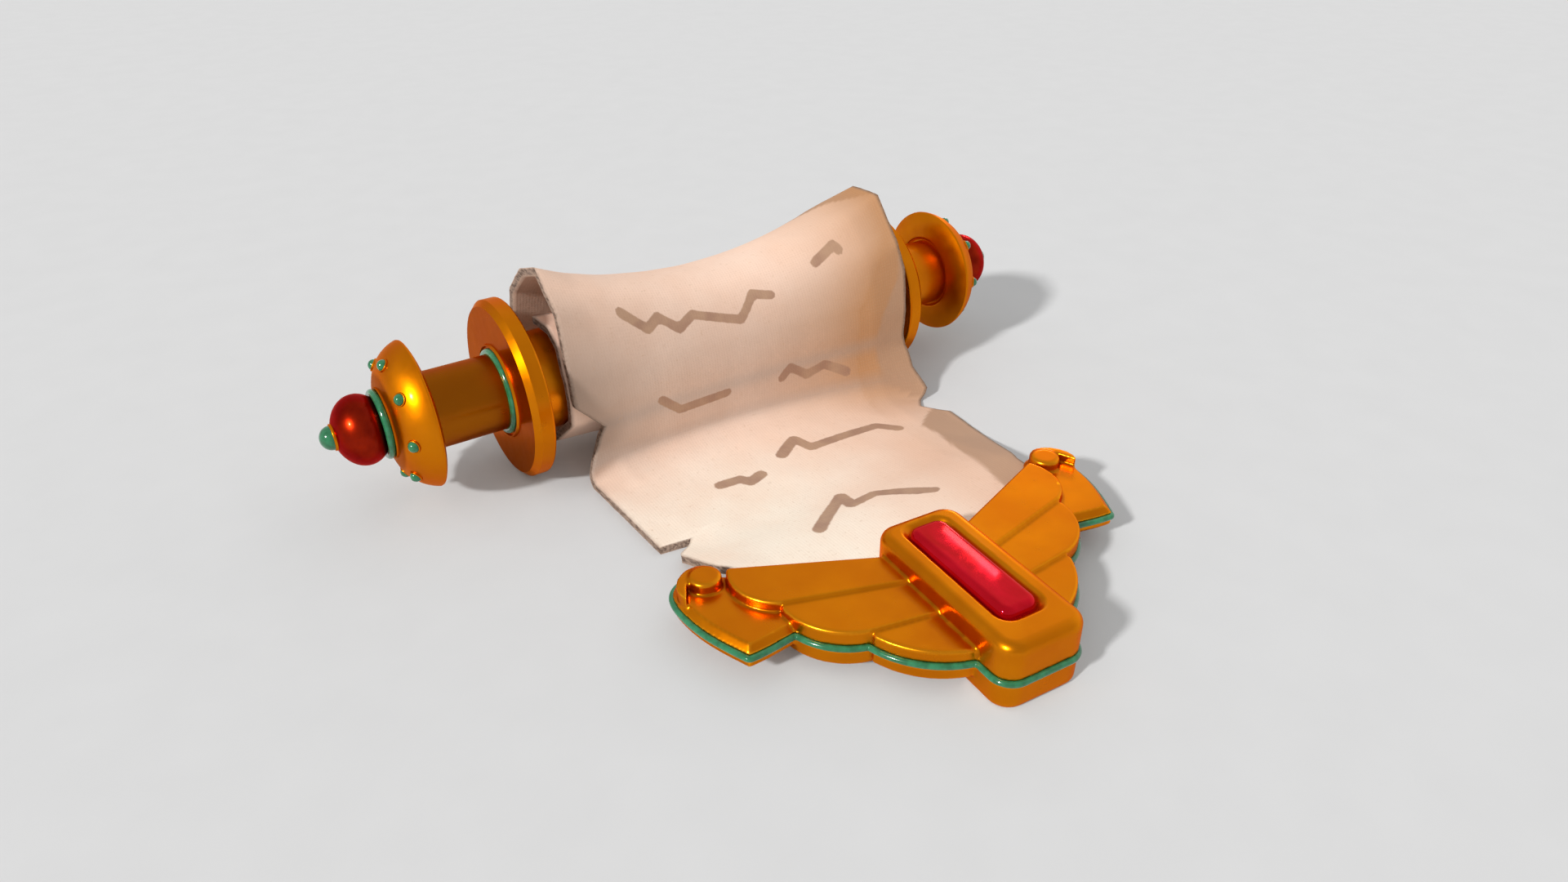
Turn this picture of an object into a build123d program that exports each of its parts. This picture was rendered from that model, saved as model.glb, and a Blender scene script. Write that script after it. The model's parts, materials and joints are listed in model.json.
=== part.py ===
from build123d import *
import os
from math import atan2, cos, hypot, pi, radians, sin, sqrt

# Ornate paper scroll lying open on a table, in millimetres.
# The roller runs along X, the sheet runs out of it towards -Y and ends in a winged clasp.

# Roller, driving sizes
FLANGE_D = 90.0
FLANGE_T = 10.0
FLANGE_GAP = 215.0
FLANGE_EDGE = 1.2
FLANGE_BEVEL = 2.8
CORE_D = 50.0
CORE_WALL = 3.0
HANDLE_D = 38.0
HANDLE_WALL = 4.0
HANDLE_LENGTH = 39.0
SPIGOT_LENGTH = 6.0
LIP_WIDTH = 1.4
LIP_HEIGHT = 1.2
LIP_GAP = 0.9
LIP_DRAFT = 0.4
ROD_D = 8.0
ROD_INTO_BALL = 15.0
ROD_CHAMFER = 1.0

# Green enamel rings at the root of each handle and behind each ball
RING_RADIUS = 1.9
RING_SINK = 0.7
COLLAR_TUBE = 1.7
COLLAR_SINK = 0.2
COLLAR_ROOM = 1.33

# Dome beyond each handle
DOME_D = 72.0
DOME_BULGE = 14.9
DOME_SWELL = 3.6
DOME_BACK = 3.6
DOME_NECK_D = 35.4
DOME_RIM = 1.0
DOME_RIM_DROP = 0.25
DOME_BACK_RIM = 11.0
RECESS_RIM = 2.4
RECESS_DEPTH = 1.6
DISH_ROLL = 0.6
NECK_STEP = 0.8
NECK_LIP = 0.4

# Cabochons on the dome
STUD_COUNT = 8
STUD_INSET = 7.2
STUD_D = 5.5
STUD_CUP_WALL = 0.5
STUD_CUP_FLOOR = 0.6
STUD_CUP_RISE = 0.6
STUD_CUP_EDGE = 0.3
STUD_SEAT = 1.6

# Ball, tip bezel and tip bead
BALL_D = 34.0
BALL_HALF_WIDTH = 13.0
BALL_SEAT_OVERLAP = 9.0
TIP_CUP_WALL = 0.6
TIP_CUP_RISE = 1.1
TIP_CUP_EDGE = 0.5
TIP_SHANK_STEP = 0.2
TIP_BEAD_D = 11.6
TIP_BEAD_RISE = 5.4

# Sheet
SHEET_T = 4.0
LEFT_MOUTH_ROOM = 13.5
RIGHT_MOUTH_ROOM = 4.5
NARROW_LEFT = 16.0
NARROW_RIGHT = 17.0
BORDER_WIDTH = 21.0
BORDER_T = 1.2
SHEET_STATIONS = 7

# Clasp, in its own frame: x across, y along the sheet, heights above the table
CLASP_TURN = -4.0
CLASP_OFFSET = 8.7
PARTING_Z = 13.5
BLOCK_WIDTH = 41.0
BLOCK_BACK = -181.0
BLOCK_FRONT = -270.0
BLOCK_RISE = 18.0
BLOCK_CORNER = 9.0
BLOCK_ROUND = 4.5
BLOCK_FOOT_ROUND = 3.0
TIER_RISES = (9.6, 8.3, 7.0)
TIER_EDGE = 0.9
FEATHER_CORNER = 2.0
HOOK_RISE = 4.7
HOOK_BEVEL = 3.2
HOOK_FOOT_BEVEL = 0.8
EYE_CENTRE = (91.5, -164.5)
EYE_D = 14.0
EYE_EDGE = 1.6
CURL_RISE = 5.4

# Green piping in the parting line, and the slot that takes the sheet
PIPING_D = 2.8
PIPING_BEND = 2.0
PIPING_END_Y = -198.0
SLOT_LEFT_ROOM = 1.0
SLOT_RIGHT_ROOM = 7.0
SLOT_FRONT = -197.0

# Gem and its pocket
GEM_WIDTH = 18.5
GEM_LENGTH = 64.0
GEM_CORNER = 5.5
GEM_PROUD = 1.6
GEM_ROUND = 3.4
GEM_Y = -221.4
POCKET_SIDE = 2.75
POCKET_END = 3.25
POCKET_DEPTH = 3.4
POCKET_EDGE = 0.8

# Countersunk screws that pull the halves together
SCREW_D = 3.0
SCREW_HEAD_D = 6.0
SCREW_HEAD_DEPTH = 1.6
SCREW_INTO_TOP = 6.0
SCREW_DRIVE = 0.8
BLOCK_SCREWS = [(0.0, -206.0), (0.0, -246.0)]
WING_SCREWS = [(-48.0, -211.5), (48.0, -211.5)]

# Clearances
FIT = 0.05
SEAT_GAP = 0.3
END_GAP = 0.5

# Places that follow from the sizes above
AXIS_Z = FLANGE_D / 2
CORE_END = FLANGE_GAP / 2
CORE_TOP = AXIS_Z + CORE_D / 2
UNDER_CORE = AXIS_Z - CORE_D / 2
SHEET_LEFT = LEFT_MOUTH_ROOM - CORE_END
SHEET_RIGHT = CORE_END - RIGHT_MOUTH_ROOM
RECESS_D = HANDLE_D + 2 * RECESS_RIM
STUD_RING_D = DOME_D - 2 * STUD_INSET
STUD_CUP_D = STUD_D + 2 * STUD_CUP_WALL
TIP_CUP_D = TIP_BEAD_D + 2 * TIP_CUP_WALL
FLANGE_FACE = CORE_END + FLANGE_T
DOME_SEAT = FLANGE_FACE + HANDLE_LENGTH
RIM_X = DOME_SEAT - RECESS_DEPTH + DOME_BACK
NECK_X = RIM_X + DOME_BULGE
NECK_END = NECK_X + NECK_STEP
COLLAR_X = NECK_END + COLLAR_TUBE - COLLAR_SINK
BALL_X = COLLAR_X + BALL_SEAT_OVERLAP
ROD_END = BALL_X - BALL_HALF_WIDTH + ROD_INTO_BALL
BALL_FLAT_X = BALL_X + BALL_HALF_WIDTH * sqrt(1 - (TIP_CUP_D / BALL_D) ** 2)
BLOCK_TOP = PARTING_Z + BLOCK_RISE
WING_BOTTOM = PARTING_Z - TIER_RISES[1]
SLOT_LEFT = SHEET_LEFT + NARROW_LEFT - SLOT_LEFT_ROOM
SLOT_RIGHT = SHEET_RIGHT - NARROW_RIGHT + SLOT_RIGHT_ROOM


# Turned solid from an outline of (distance along the roller, radius) points or edges
def turned(*edges):
    return revolve(make_face(Curve() + list(edges)), Axis.X, 360)


def bored(solid, x_from, x_to, diameter):
    bore = Plane.YZ.offset(x_from) * Circle(diameter / 2)
    return solid - extrude(bore, x_to - x_from)


def on_axis(solid):
    return Pos(0, 0, AXIS_Z) * solid


# Roller core, a tube with the flange spigots in its ends
def roller_core():
    half = CORE_END
    outer = CORE_D / 2
    inner = outer - CORE_WALL
    return turned(Polyline((-half, inner), (half, inner), (half, outer), (-half, outer), close=True))


def tie_rod():
    radius = ROD_D / 2
    outline = Polyline((-ROD_END, 0), (ROD_END, 0), (ROD_END, radius), (-ROD_END, radius), close=True)
    return chamfer(turned(outline).edges().filter_by(GeomType.CIRCLE), ROD_CHAMFER)


def widest_rims(solid):
    return solid.edges().filter_by(GeomType.CIRCLE).group_by(SortBy.RADIUS)[-1].sort_by(Axis.X)


# Flange with a spigot into the core, a spigot into the handle and a thin lip round the green ring
def flange():
    bore = ROD_D / 2 + FIT
    core_spigot = CORE_D / 2 - CORE_WALL - FIT
    handle_spigot = HANDLE_D / 2 - HANDLE_WALL - FIT
    rim = FLANGE_D / 2
    lip_in = HANDLE_D / 2 + RING_SINK + RING_RADIUS + LIP_GAP
    lip_out = lip_in + LIP_WIDTH
    disc = turned(Polyline((CORE_END, bore), (FLANGE_FACE, bore), (FLANGE_FACE, rim), (CORE_END, rim),
                           close=True))
    disc = chamfer(widest_rims(disc)[-1], FLANGE_BEVEL)
    disc = fillet(widest_rims(disc)[0], FLANGE_EDGE)
    spigots = turned(Polyline((CORE_END - SPIGOT_LENGTH, bore), (CORE_END, bore),
                              (CORE_END, core_spigot), (CORE_END - SPIGOT_LENGTH, core_spigot), close=True))
    spigots += turned(Polyline((FLANGE_FACE, bore), (FLANGE_FACE + SPIGOT_LENGTH, bore),
                               (FLANGE_FACE + SPIGOT_LENGTH, handle_spigot), (FLANGE_FACE, handle_spigot),
                               close=True))
    lip_top = FLANGE_FACE + LIP_HEIGHT
    lip = turned(Polyline((FLANGE_FACE, lip_in), (lip_top, lip_in + LIP_DRAFT),
                          (lip_top, lip_out - LIP_DRAFT), (FLANGE_FACE, lip_out), close=True))
    return disc + spigots + lip


# Green ring bedded against the flange face and the handle
def flange_ring():
    reach = RING_RADIUS + RING_SINK
    radius = HANDLE_D / 2 + FIT
    section = Pos(FLANGE_FACE + RING_SINK, radius + RING_SINK) * Circle(RING_RADIUS)
    section &= Pos(FLANGE_FACE, radius) * Rectangle(reach, reach, align=(Align.MIN, Align.MIN))
    return revolve(section, Axis.X, 360)


def handle():
    outer = HANDLE_D / 2
    inner = outer - HANDLE_WALL
    return turned(Polyline((FLANGE_FACE, inner), (DOME_SEAT, inner), (DOME_SEAT, outer),
                           (FLANGE_FACE, outer), close=True))


# Circle of the swelling front of the dome, from its rim to its neck, as its centre and radius
def dome_front():
    rim = DOME_D / 2
    neck = DOME_NECK_D / 2
    chord = hypot(DOME_BULGE, rim - neck)
    radius = (chord ** 2 / 4 + DOME_SWELL ** 2) / (2 * DOME_SWELL)
    inward = (radius - DOME_SWELL) / chord
    return (RIM_X + DOME_BULGE / 2 - inward * (rim - neck), (rim + neck) / 2 - inward * DOME_BULGE), radius


# Dome: swelling front, thin rim, rounded back with a shallow recess that takes the handle
def dome_solid():
    bore = ROD_D / 2 + FIT
    spigot = HANDLE_D / 2 - HANDLE_WALL - FIT
    recess = RECESS_D / 2
    rim = DOME_D / 2
    neck = DOME_NECK_D / 2
    back = DOME_SEAT - RECESS_DEPTH
    (centre_x, centre_r), radius = dome_front()
    halfway = atan2((rim + neck) / 2 - centre_r, RIM_X + DOME_BULGE / 2 - centre_x)
    crown = (centre_x + radius * cos(halfway), centre_r + radius * sin(halfway))
    rim_start = (RIM_X - DOME_RIM, rim - DOME_RIM_DROP)
    spigot_end = DOME_SEAT - SPIGOT_LENGTH
    dish = (DOME_SEAT, recess - RECESS_DEPTH)
    dish_brim = (back + DISH_ROLL / 4, recess)
    back_in = (back, recess + 2 * DISH_ROLL)
    back_out = (back, rim - DOME_BACK_RIM)
    lines = [
        Polyline(dish, (DOME_SEAT, spigot), (spigot_end, spigot), (spigot_end, bore), (NECK_END, bore)),
        ThreePointArc(dish, (DOME_SEAT - DISH_ROLL, recess - DISH_ROLL), dish_brim),
        TangentArc(back_in, dish_brim, tangent=(0, -1)),
        Line(back_in, back_out),
        TangentArc(back_out, rim_start, tangent=(0, 1)),
        TangentArc((RIM_X, rim), rim_start, tangent=(-1, 0)),
        ThreePointArc((RIM_X, rim), crown, (NECK_X, neck)),
        Polyline((NECK_X, neck), (NECK_X, neck - NECK_LIP), (NECK_END, neck - NECK_LIP), (NECK_END, bore)),
    ]
    return turned(*lines)


# Frames that stand on the dome front, one for each cabochon, Z out along the normal
def stud_frames():
    (centre_x, centre_r), radius = dome_front()
    slope_r = (STUD_RING_D / 2 - centre_r) / radius
    slope_x = sqrt(1 - slope_r ** 2)
    x = centre_x + radius * slope_x
    frames = []
    for number in range(STUD_COUNT):
        angle = 2 * pi * number / STUD_COUNT
        outward = (0, cos(angle), sin(angle))
        origin = (x, outward[1] * STUD_RING_D / 2, outward[2] * STUD_RING_D / 2)
        normal = (slope_x, outward[1] * slope_r, outward[2] * slope_r)
        frames.append(Plane(origin=origin, x_dir=(0, -outward[2], outward[1]), z_dir=normal))
    return frames


def dome():
    body = dome_solid()
    for frame in stud_frames():
        body -= extrude(frame.offset(-STUD_SEAT) * Circle(STUD_CUP_D / 2 + FIT), STUD_SEAT * 3)
    return body


# Thin gold cup round each cabochon
def stud_cup(frame):
    cup = extrude(frame.offset(-STUD_SEAT) * Circle(STUD_CUP_D / 2), STUD_SEAT + STUD_CUP_RISE)
    rim = cup.edges().filter_by(GeomType.CIRCLE).sort_by(lambda edge: frame.to_local_coords(edge.center()).Z)
    cup = fillet(rim[-1], STUD_CUP_EDGE)
    floor = frame.offset(STUD_CUP_FLOOR - STUD_SEAT)
    hollow = extrude(floor * Circle(STUD_D / 2 + FIT), STUD_SEAT + 2 * STUD_CUP_RISE)
    return cup - hollow


def stud(frame):
    radius = STUD_D / 2
    base = extrude(frame.offset(STUD_CUP_FLOOR - STUD_SEAT) * Circle(radius), STUD_SEAT - STUD_CUP_FLOOR)
    crown = Sphere(radius, arc_size1=0, arc_size2=90, align=(Align.CENTER, Align.CENTER, Align.MIN))
    return base + frame.location * crown


# Green ring behind the ball, bedded on the dome neck
def collar_ring():
    ball_here = BALL_D / 2 * sqrt(1 - ((BALL_X - COLLAR_X) / BALL_HALF_WIDTH) ** 2)
    centre = ball_here + COLLAR_TUBE + COLLAR_ROOM
    section = Pos(COLLAR_X, centre) * Circle(COLLAR_TUBE)
    beyond_neck = Rectangle(4 * COLLAR_TUBE, 4 * COLLAR_TUBE, align=(Align.MIN, Align.CENTER))
    return revolve(section & Pos(NECK_END, centre) * beyond_neck, Axis.X, 360)


# Ball, seated flat on the dome neck and screwed on the tie rod
def ball():
    bulge = EllipticalCenterArc((BALL_X, 0), BALL_HALF_WIDTH, BALL_D / 2, arc_size=180)
    left = BALL_X - BALL_HALF_WIDTH
    right = BALL_X + BALL_HALF_WIDTH
    body = turned(bulge, Line((left, 0), (right, 0)))
    between = Pos(NECK_END, 0, 0) * Box(BALL_FLAT_X - NECK_END, 2 * BALL_D, 2 * BALL_D,
                                        align=(Align.MIN, Align.CENTER, Align.CENTER))
    return bored(body & between, NECK_END - 1, ROD_END + SEAT_GAP, ROD_D + 2 * FIT)


def tip_cup():
    outer = TIP_CUP_D / 2
    inner = TIP_BEAD_D / 2 - TIP_SHANK_STEP
    end = BALL_FLAT_X + TIP_CUP_RISE
    corner = (end - TIP_CUP_EDGE, outer)
    brim = (end, outer - TIP_CUP_EDGE)
    return turned(
        Polyline(corner, (BALL_FLAT_X, outer), (BALL_FLAT_X, inner), (end, inner), brim),
        TangentArc(corner, brim, tangent=(1, 0)))


# Green tip bead with a shank down to the ball
def tip_bead():
    start = BALL_FLAT_X + TIP_CUP_RISE
    radius = TIP_BEAD_D / 2
    shank = radius - TIP_SHANK_STEP - FIT
    crown = EllipticalCenterArc((start, 0), TIP_BEAD_RISE, radius, arc_size=90)
    return turned(
        crown,
        Line((start, radius), (start, shank)),
        Line((start, shank), (BALL_FLAT_X, shank)),
        Line((BALL_FLAT_X, shank), (BALL_FLAT_X, 0)),
        Line((BALL_FLAT_X, 0), (start + TIP_BEAD_RISE, 0)))


# Sheet, drawn as its upper or outer face in (y, height), from the clasp to the inner end.
# The left mouth, the waist and the right mouth of the roll each have their own outline.
# A corner of the roll, by its layer on the core, its clearance and its direction from the axis
def turn(layer, clearance, angle):
    reach = CORE_D / 2 + layer * SHEET_T + clearance
    return (reach * cos(radians(angle)), AXIS_Z + reach * sin(radians(angle)))


CLASP_RUN = [(-216.0, PARTING_Z + SHEET_T / 2), (-150.0, PARTING_Z + SHEET_T / 2), (-113.0, SHEET_T)]
TAB_TOP = CORE_TOP + SEAT_GAP + SHEET_T
LEFT_MOUTH = CLASP_RUN + [
    (-19 - CORE_D / 2, SHEET_T), turn(2, 9.54, 209.58), turn(2, 4.01, 178.45), turn(2, 19.48, 120.96),
    turn(2, 28.79, 95.57), turn(2, 22.91, 74.97), turn(2, 17.33, 49.03),
    turn(2, 11.15, 13.09), turn(2, 8.68, -30.26), (16, 0.55 * UNDER_CORE), (-6, 0.55 * UNDER_CORE),
    turn(1, 4.11, 205.02), turn(1, 2.52, 178.18), turn(1, 6.47, 130.43),
    (-13, TAB_TOP + 4), (6, TAB_TOP + 2.5)]
WAIST = CLASP_RUN + [
    (-12 - CORE_D / 2, SHEET_T), turn(2, 9.06, 208.39), turn(2, 4.22, 173.83), turn(2, 5.54, 134.47),
    turn(2, 9.45, 105.02), turn(2, 7.26, 75.62), turn(2, 5.90, 43.96),
    turn(2, 4.12, 4.64), turn(2, 9.45, -43.09), (12, 0.15 * UNDER_CORE), (-10, 0.15 * UNDER_CORE),
    turn(1, 5.92, 209.13), turn(1, 2.46, 172.69), turn(1, 3.47, 133.38),
    (-8.5, TAB_TOP + 0.3), (4, TAB_TOP)]
RIGHT_MOUTH = CLASP_RUN + [
    (-41 - CORE_D / 2, SHEET_T), turn(2, 19.20, 196.70), turn(2, 15.51, 171.70), turn(2, 25.73, 132.93),
    turn(2, 35.41, 105.26), turn(2, 33.19, 85.67), turn(2, 25.01, 54.12),
    turn(2, 13.87, 11.07), turn(2, 12.49, -33.34), (14, 0.2 * UNDER_CORE), (-12, 0.2 * UNDER_CORE),
    turn(1, 10.81, 205.28), turn(1, 10.32, 172.69), turn(1, 9.95, 131.88),
    (-8, TAB_TOP + 3), (4, TAB_TOP + 3)]
WAIST_X = -4.0


# Points moved to the right of the path's direction by a distance, with mitred corners
def moved_right(points, distance):
    directions = []
    for start, end in zip(points, points[1:]):
        length = hypot(end[0] - start[0], end[1] - start[1])
        directions.append(((end[0] - start[0]) / length, (end[1] - start[1]) / length))
    before = [directions[0]] + directions
    after = directions + [directions[-1]]
    moved = []
    for (y, z), (ay, az), (by, bz) in zip(points, before, after):
        scale = distance / (1 + ay * by + az * bz)
        moved.append((y + (az + bz) * scale, z - (ay + by) * scale))
    return moved


# Outline of the roll at any x: a parabola through the three drawn outlines
def outline_at(x):
    span = SHEET_RIGHT - SHEET_LEFT
    left = (x - WAIST_X) * (x - SHEET_RIGHT) / ((SHEET_LEFT - WAIST_X) * -span)
    right = (x - WAIST_X) * (x - SHEET_LEFT) / ((SHEET_RIGHT - WAIST_X) * span)
    middle = 1 - left - right
    points = []
    for (ly, lz), (my, mz), (ry, rz) in zip(LEFT_MOUTH, WAIST, RIGHT_MOUTH):
        points.append((left * ly + middle * my + right * ry, left * lz + middle * mz + right * rz))
    return points


def sheet_section(x, thinning=0.0):
    outline = outline_at(x)
    face = moved_right(outline, thinning)
    back = moved_right(outline, SHEET_T)
    points = [(x, y, z) for y, z in face + back[::-1]]
    return make_face(Polyline(*points, close=True))


# Plan outlines that trim the sheet's ragged edges, and the notch in its front wall
def side_trim(points, height):
    return extrude(make_face(Polyline(*points, close=True)), height)


def paper_sheet():
    border = SHEET_RIGHT - BORDER_WIDTH
    step = (border - SHEET_LEFT) / (SHEET_STATIONS - 1)
    sections = [sheet_section(SHEET_LEFT + step * number) for number in range(SHEET_STATIONS)]
    sheet = loft(sections)
    sheet += loft([sections[-1], sheet_section(SHEET_RIGHT, SHEET_T - BORDER_T)], ruled=True)
    return trimmed_sheet(sheet)


def trimmed_sheet(sheet):
    left, right = SHEET_LEFT, SHEET_RIGHT
    far = 2 * right
    narrow_left, narrow_right = left + NARROW_LEFT, right - NARROW_RIGHT
    border = left + 5
    # Left border on the table, with its two notches
    plan = [(-far, -30), (border, -30), (border, -108), (left + 20.4, -109), (left + 10, -119),
            (narrow_left + 0.5, -132), (narrow_left, -150), (narrow_left, -230), (-far, -230)]
    sheet -= Pos(0, 0, -1) * side_trim(plan, AXIS_Z * 0.62)
    # Right border on the table, with its notch below the roll
    plan = [(far, -60), (right + 1, -60), (right - 9, -75), (right, -87), (narrow_right + 2.5, -152),
            (narrow_right, -230), (far, -230)]
    sheet -= Pos(0, 0, -1) * side_trim(plan, AXIS_Z * 0.45)
    # Notch in the left edge of the front wall, cut as far as the gap behind the wall
    wall = [(-far, 0, 44), (left, 0, 44.5), (left + 15, 0, 29), (border, 0, SHEET_T + 2), (border, 0, -1),
            (-far, 0, -1)]
    notch = extrude(make_face(Polyline(*wall, close=True)), amount=90, dir=(0, -1, 0))
    sheet -= Pos(0, -CORE_D / 2 - SHEET_T - 3.2, 0) * notch
    # End of the sheet inside the clasp
    end = Box(2 * far, far, 2 * far, align=(Align.CENTER, Align.MAX, Align.CENTER))
    return sheet - clasp_place() * Pos(0, SLOT_FRONT + END_GAP, 0) * end


def clasp_place():
    return Pos(CLASP_OFFSET, 0, 0) * Rot(0, 0, CLASP_TURN)


# Clasp outlines, right half in the clasp frame
HALF = BLOCK_WIDTH / 2
ROOT_BACK = BLOCK_BACK - BLOCK_CORNER
ROOT_FRONT = -253.0
TIP_1 = (81.5, -164.0)
TIP_2 = (73.5, -194.5)
TIP_3 = (51.0, -225.0)


# One feather: a straight back edge, a rounded end and a straight front edge
def feather(tip, bulge, front, *root):
    return make_face(Curve() + [ThreePointArc(tip, bulge, front), Polyline(front, *root, tip)])


def feather_faces():
    first = feather(TIP_1, (84.2, -181.0), TIP_2, to_middle(TIP_2, -209.0), to_middle(TIP_1, ROOT_BACK))
    second = feather(TIP_2, (69.0, -212.0), TIP_3, to_middle(TIP_3, -229.5), to_middle(TIP_2, -204.0))
    third_bulge = (42.0, -240.5)
    inward = ThreePointArc(TIP_3, third_bulge, (HALF, ROOT_FRONT)) % 1
    root = (0, ROOT_FRONT - HALF * inward.Y / inward.X)
    third = feather(TIP_3, third_bulge, (HALF, ROOT_FRONT), root, (0, TIP_3[1]))
    return first, second, third


def rounded_end(face):
    return fillet(face.vertices().filter_by_position(Axis.X, HALF + FIT, 2 * TIP_1[0]), FEATHER_CORNER)


# Where a straight edge from a feather's end meets the middle line, past its root on the side of the block
def to_middle(tip, root_y):
    return (0, root_y - (tip[1] - root_y) / (tip[0] - HALF) * HALF)


# Outer hook feather, which curls round at the back
def hook_face():
    lines = [
        Spline((66.0, -204.5), (76.0, -205.8), (86.0, -207.4), (94.5, -208.0)),
        Spline((94.5, -208.0), (101.5, -192.0), (106.0, -172.0), (103.8, -158.5), (94.0, -153.0),
               (84.5, -156.3), TIP_1),
        Polyline(TIP_1, (75.0, -168.5), (66.0, -185.0), (66.0, -204.5)),
    ]
    return make_face(Curve() + lines)


def hook(bevel):
    solid = extrude(hook_face(), HOOK_RISE)
    curved = solid.edges().group_by(Axis.Z)[-1].filter_by(GeomType.BSPLINE)
    return chamfer(curved, bevel)


def eased_top(solid, radius):
    return fillet(solid.edges().group_by(Axis.Z)[-1], radius)


# Curl at the back of the hook: a rim that runs in beside a round eye
def curl():
    base = HOOK_RISE - HOOK_BEVEL
    eye = extrude(Pos(*EYE_CENTRE, base) * Circle(EYE_D / 2), HOOK_BEVEL + CURL_RISE)
    eye = eased_top(eye, EYE_EDGE)
    lines = [
        Spline((104.0, -173.0), (102.0, -160.5), (94.0, -156.0), (87.5, -158.0)),
        Line((87.5, -158.0), (90.0, -161.0)),
        Spline((90.0, -161.0), (95.5, -160.0), (100.0, -165.0), (104.0, -173.0)),
    ]
    rim = extrude(Pos(0, 0, base) * make_face(Curve() + lines), HOOK_BEVEL + CURL_RISE * 0.8)
    return eye + rim


# One wing on one side of the parting plane
def wing(outer_feather):
    solid = outer_feather
    for face, rise in zip(feather_faces(), TIER_RISES):
        solid += eased_top(extrude(rounded_end(face), rise), TIER_EDGE)
    return solid


def both_sides(solid):
    return solid + mirror(solid, about=Plane.YZ)


def block_face():
    middle = Pos(0, (BLOCK_BACK + BLOCK_FRONT) / 2)
    return middle * RectangleRounded(BLOCK_WIDTH, BLOCK_BACK - BLOCK_FRONT, BLOCK_CORNER)


# Half of the clasp as cast, with its parting face at z = 0
def cast_half(outer_feather, block_rise, block_round):
    block = eased_top(extrude(block_face(), block_rise), block_round)
    return both_sides(wing(outer_feather)) + block - slot_space() - piping(PIPING_D / 2 + FIT)


# Green piping that runs in the groove of the parting line and stops at the mouth of the slot
def piping(radius):
    wing_plan = Sketch() + list(feather_faces()) + hook_face()
    plan = both_sides(wing_plan) + block_face()
    outer = plan.vertices().filter_by_position(Axis.Y, ROOT_FRONT - FIT, 0)
    corners = [point for point in outer if abs(point.X) > HALF - FIT]
    path = fillet(corners, PIPING_BEND).faces()[0].outer_wire()
    closed = sweep(Plane(origin=path @ 0, z_dir=path % 0) * Circle(radius), path=path)
    mouth = Pos(0, PIPING_END_Y, 0) * Box(2 * SLOT_RIGHT + PIPING_D, 2 * BLOCK_WIDTH, BLOCK_WIDTH,
                                          align=(Align.CENTER, Align.MIN, Align.CENTER))
    return closed - mouth


# Space that the end of the sheet fills between the halves
def slot_space():
    width = SLOT_RIGHT - SLOT_LEFT
    middle = (SLOT_RIGHT + SLOT_LEFT) / 2
    depth = BLOCK_BACK - SLOT_FRONT + 2 * BLOCK_WIDTH
    space = Box(width, depth, SHEET_T, align=(Align.CENTER, Align.MIN, Align.CENTER))
    return Pos(middle, SLOT_FRONT, 0) * space


def upper_shell():
    shell = Pos(0, 0, PARTING_Z) * cast_half(hook(HOOK_BEVEL) + curl(), BLOCK_RISE, BLOCK_ROUND)
    pocket_width = GEM_WIDTH + 2 * POCKET_SIDE
    floor = Pos(0, GEM_Y, BLOCK_TOP - POCKET_DEPTH) * gem_face(GEM_WIDTH + 2 * FIT, GEM_LENGTH + 2 * FIT)
    mouth = Pos(0, GEM_Y, BLOCK_TOP) * gem_face(pocket_width, GEM_LENGTH + 2 * POCKET_END)
    shell -= loft([floor, mouth])
    top_edges = shell.edges().group_by(Axis.Z)[-1]
    brim = top_edges.filter_by_position(Axis.X, -pocket_width / 2 - FIT, pocket_width / 2 + FIT)
    return fillet(brim, POCKET_EDGE) - screw_group(FIT)


def lower_shell():
    half = cast_half(hook(HOOK_FOOT_BEVEL), PARTING_Z, BLOCK_FOOT_ROUND)
    return Pos(0, 0, PARTING_Z) * mirror(half, about=Plane.XY) - screw_group(FIT)


def gem_face(width, length):
    return RectangleRounded(width, length, GEM_CORNER * width / GEM_WIDTH)


# Cushion-cut gem, flat below and rounded above
def gem():
    rise = POCKET_DEPTH + GEM_PROUD
    stone = Pos(0, GEM_Y, BLOCK_TOP - POCKET_DEPTH) * extrude(gem_face(GEM_WIDTH, GEM_LENGTH), rise)
    return eased_top(stone, GEM_ROUND)


# One countersunk screw, head down, with room round it when it is cut out of the halves
def screw(x, y, bottom, room):
    head = SCREW_HEAD_D / 2 + room
    shank = SCREW_D / 2 + room
    top = PARTING_Z + SCREW_INTO_TOP + room
    neck = bottom + SCREW_HEAD_DEPTH
    outline = Polyline((0, bottom), (head, bottom), (shank, neck), (shank, top), (0, top), close=True)
    return Pos(x, y, 0) * revolve(Plane.XZ * make_face(outline), Axis.Z, 360)


def screw_group(room):
    places = [(x, y, 0.0) for x, y in BLOCK_SCREWS] + [(x, y, WING_BOTTOM) for x, y in WING_SCREWS]
    return Part() + [screw(x, y, bottom, room) for x, y, bottom in places]


def clasp_screws():
    screws = screw_group(0.0)
    for x, y in BLOCK_SCREWS:
        screws -= Pos(x, y, 0) * Box(SCREW_HEAD_D, SCREW_DRIVE, 2 * SCREW_DRIVE)
    for x, y in WING_SCREWS:
        screws -= Pos(x, y, WING_BOTTOM) * Box(SCREW_HEAD_D, SCREW_DRIVE, 2 * SCREW_DRIVE)
    return screws


def roller_nodes():
    frames = stud_frames()
    end = {
        "flange": flange(),
        "flange_ring": flange_ring(),
        "handle": handle(),
        "dome": dome(),
        "dome_stud_cups": Part() + [stud_cup(frame) for frame in frames],
        "dome_studs": Part() + [stud(frame) for frame in frames],
        "collar_ring": collar_ring(),
        "ball": ball(),
        "tip_cup": tip_cup(),
        "tip_bead": tip_bead(),
    }
    nodes = {"roller_core": on_axis(roller_core()), "tie_rod": on_axis(tie_rod())}
    for name, solid in end.items():
        nodes["right_" + name] = on_axis(solid)
        nodes["left_" + name] = mirror(on_axis(solid), about=Plane.YZ)
    return nodes


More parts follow.
